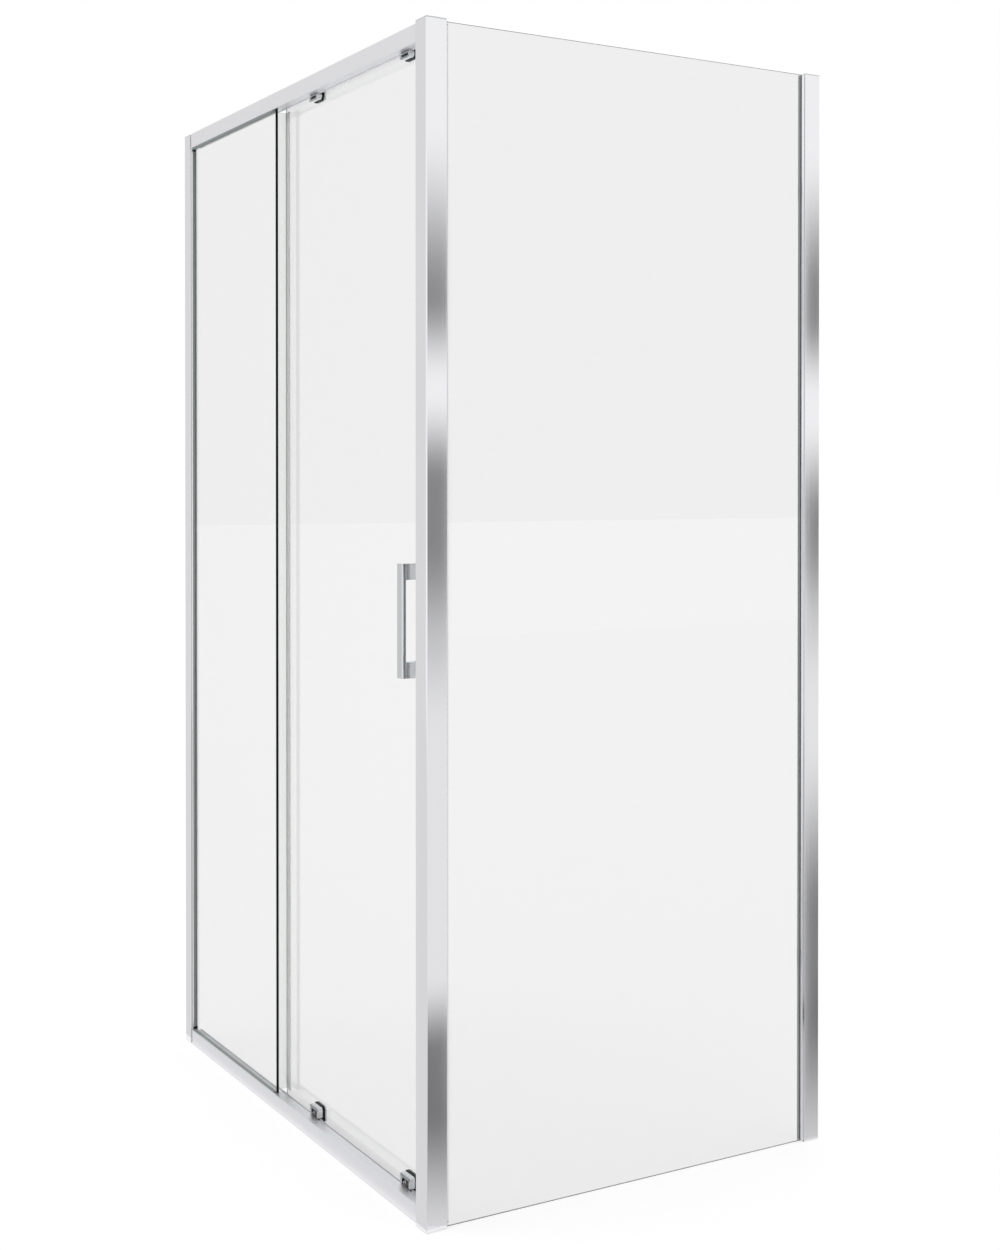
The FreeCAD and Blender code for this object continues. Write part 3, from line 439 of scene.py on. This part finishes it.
# %% A soft flag, placed by the mirror rule
FLAG_X = 1.2
LOW_FLAG_WIDTH = 0.16
OVERLAP = 0.1  # how far a lying flag runs on past the standing one
FLAG_LIFT = 0.002  # the lying flags are just above the sweeps, and those above the floor
UPRIGHT = (math.pi / 2, 0.0, math.pi / 2)
side_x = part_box("corner_post")[1][0]
flag_reach = (FLAG_X - side_x) / (camera.location.x - side_x)


def mirrored(seen, eye):
    """Where the line of sight that meets the metal at that coordinate reaches the flags."""
    return seen + (seen - eye) * flag_reach


def mirror_card(name, size, place, turn):
    """A card that only mirrored rays see; gives the empty node tree of its material."""
    piece = sheet(name, size, place, turn)
    piece.visible_camera = piece.visible_diffuse = piece.visible_transmission = False
    piece.visible_shadow = piece.visible_volume_scatter = False
    finish = bpy.data.materials.new(name)
    finish.use_nodes = True
    finish.node_tree.nodes.clear()
    piece.data.materials.append(finish)
    return finish.node_tree


def fading_card(name, size, place, turn, axis, fades, dark):
    """A card for mirrors only, dark inside and clear beyond each fade along its own axis."""
    tree = mirror_card(name, size, place, turn)
    where = add_node(tree, "ShaderNodeTexCoord")
    split = add_node(tree, "ShaderNodeSeparateXYZ", Vector=where.outputs["Object"])
    clearness = 0.0
    for dark_end, clear_end in fades:
        fade = add_node(tree, "ShaderNodeMapRange", {"interpolation_type": "SMOOTHSTEP"},
                        Value=split.outputs[axis], From_Min=dark_end, From_Max=clear_end)
        edge = add_node(tree, "ShaderNodeMath", {"operation": "MAXIMUM"},
                        _0=fade.outputs["Result"], _1=clearness)
        clearness = edge.outputs[0]
    shade = add_node(tree, "ShaderNodeEmission", Color=WHITE, Strength=dark)
    gone = add_node(tree, "ShaderNodeBsdfTransparent")
    card = add_node(tree, "ShaderNodeMixShader", Fac=clearness, _1=shade.outputs[0],
                    _2=gone.outputs[0])
    add_node(tree, "ShaderNodeOutputMaterial", Surface=card.outputs[0])


def flag(name, width, heights, dark):
    """A standing card; heights on the metal are top, full dark from and to, and bottom."""
    left, right = (mirrored(y, camera.location.y) for y in width)
    top, dark_top, dark_low, low = (mirrored(z, camera.location.z) for z in heights)
    middle = (top + low) / 2
    fading_card(name, (right - left, top - low), (FLAG_X, (left + right) / 2, middle), UPRIGHT,
                "Y", ((dark_top - middle, top - middle), (dark_low - middle, low - middle)), dark)


def low_flag(name, edge, outward, heights, dark):
    """The part of a flag that lies on the floor, where the metal near the ground mirrors it."""
    away = Vector((camera.location.x - side_x, edge - camera.location.y))
    dark_at, clear_at = (away.length * z / (camera.location.z - z) for z in heights)
    length = away.length * flag_reach + OVERLAP
    along = away.normalized()
    across = Vector((-along.y, along.x)) * outward
    middle = Vector((side_x, edge)) + along * length / 2 + across * LOW_FLAG_WIDTH / 2
    fading_card(name, (length, LOW_FLAG_WIDTH), (middle.x, middle.y, FLAG_LIFT),
                (0.0, 0.0, math.atan2(along.y, along.x)), "X",
                ((dark_at - length / 2, clear_at - length / 2),), dark)


# %% Eight flags, four for each upright
OPEN_SIDE, PANE_SIDE = 0.03, 0.003  # past the metal, away from its pane and towards it
post_low, post_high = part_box("corner_post")
wall_low, wall_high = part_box("side_wall_profile")
post_width = (post_low[1] - OPEN_SIDE, post_high[1] + PANE_SIDE)
wall_width = (wall_low[1] - PANE_SIDE, wall_high[1] + OPEN_SIDE)
flag("upper post flag", post_width, (1.74, 1.455, 1.465, 1.325), 0.27)
flag("middle post flag", post_width, (1.315, 1.175, 1.09, 0.775), 0.24)
flag("lower post flag", post_width, (0.40, 0.283, -0.30, -0.40), 0.20)
low_flag("low post flag", post_width[1], -1, (0.185, -0.085), 0.20)
flag("upper wall flag", wall_width, (1.77, 1.51, 1.47, 1.32), 0.22)
flag("middle wall flag", wall_width, (1.29, 1.11, 1.09, 0.79), 0.225)
flag("lower wall flag", wall_width, (0.72, 0.40, -0.30, -0.40), 0.17)
low_flag("low wall flag", wall_width[0], 1, (0.24, -0.19), 0.17)
print("eight flags, six of them standing at x =", FLAG_X, "m")

# %% [markdown]
# ## Grey sweeps on both sides
#
# The faces that look to the front mirror the left of the room. In the photo they are all one pale
# grey, a step darker than the ground, so a large grey sweep stands there and runs on over the
# floor, again for mirrors only. The sides of the post mirror the floor on the right. It gets a
# paler sweep, because the metal between the dark bands is a little darker than the ground.

# %% The grey sweeps
FRONT_SWEEP, RIGHT_SWEEP = (9.0, 5.6), (9.0, 9.4)
FRONT_GAP, RIGHT_GAP = 0.005, 0.01  # between a floor sweep and the post
SWEEP_LIFT = 0.001


def grey_sweep(name, size, place, grey, turn=(0.0, 0.0, 0.0)):
    """A large even card that only mirrored rays see."""
    tree = mirror_card(name, size, place, turn)
    shade = add_node(tree, "ShaderNodeEmission", Color=WHITE, Strength=grey)
    add_node(tree, "ShaderNodeOutputMaterial", Surface=shade.outputs[0])


grey_sweep("left sweep", (12.0, 7.0), (-4.5, -1.0, 3.0), 0.78, UPRIGHT)
front_y = post_low[1] - FRONT_GAP - FRONT_SWEEP[1] / 2
grey_sweep("front floor sweep", FRONT_SWEEP, (0.0, front_y, SWEEP_LIFT), 0.77)
right_x, right_y = side_x + RIGHT_GAP + RIGHT_SWEEP[0] / 2, post_low[1] + RIGHT_SWEEP[1] / 2
grey_sweep("right floor sweep", RIGHT_SWEEP, (right_x, right_y, SWEEP_LIFT), 0.88)
print("three sweeps")
